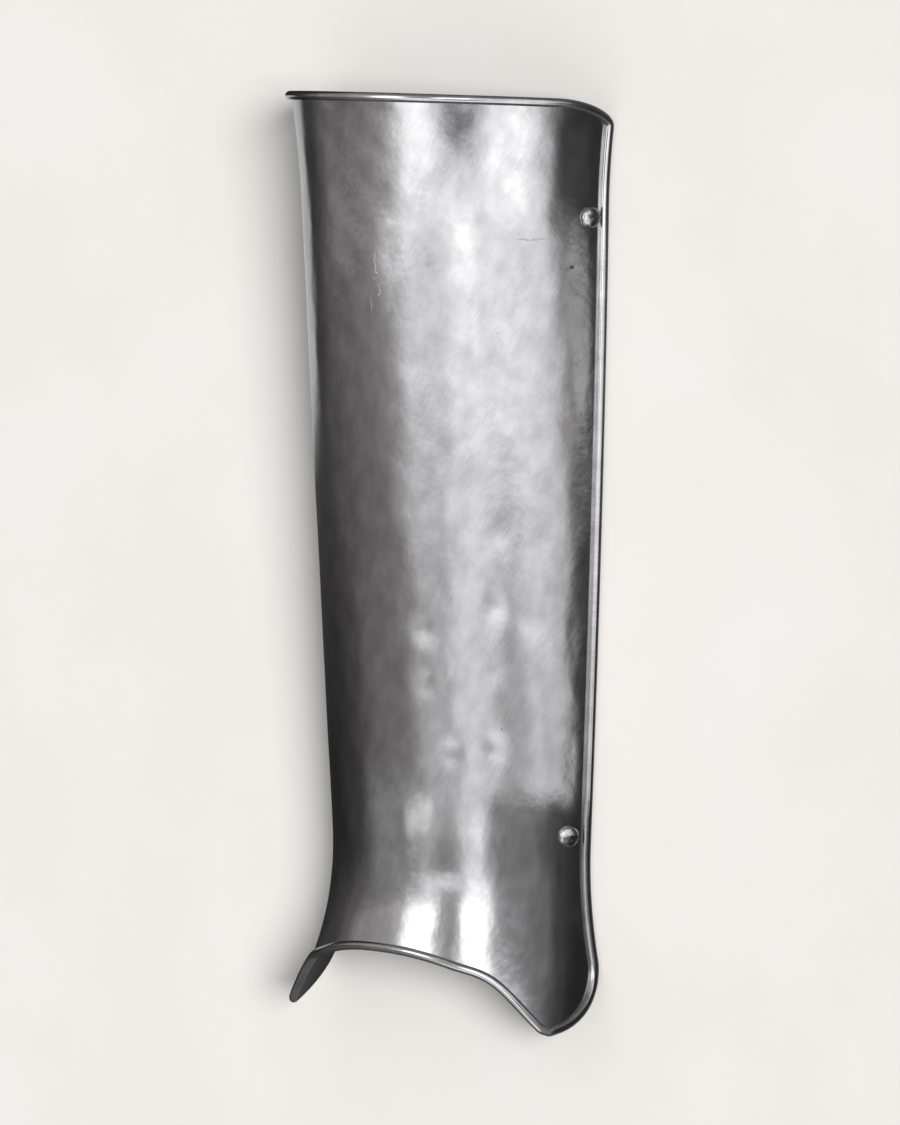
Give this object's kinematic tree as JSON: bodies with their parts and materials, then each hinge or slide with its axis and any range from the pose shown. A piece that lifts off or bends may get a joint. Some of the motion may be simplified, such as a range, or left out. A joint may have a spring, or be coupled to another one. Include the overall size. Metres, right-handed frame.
{
  "type": "greave",
  "caption": "Polished steel shin plate formed as a half shell with a rolled bead edge, arched ankle opening, side lobes and domed strap rivets.",
  "frame": {"origin": "middle of the bounding box on the floor the greave lies on", "axes": "+Y up the leg toward the knee, +Z out of the shin, +X across the leg, to the right seen from the front with the knee at the top"},
  "size_m": [0.1654, 0.3974, 0.077],
  "materials": {
    "plate_steel": "bare steel, bright polish with faint planishing marks and fine scratches",
    "rivet_steel": "bare steel, bright polish"
  },
  "bodies": {
    "root": {"shin_plate": "plate_steel", "rivet_right_upper": "rivet_steel", "rivet_right_lower": "rivet_steel", "rivet_left_upper": "rivet_steel", "rivet_left_lower": "rivet_steel"}
  },
  "joints": []
}
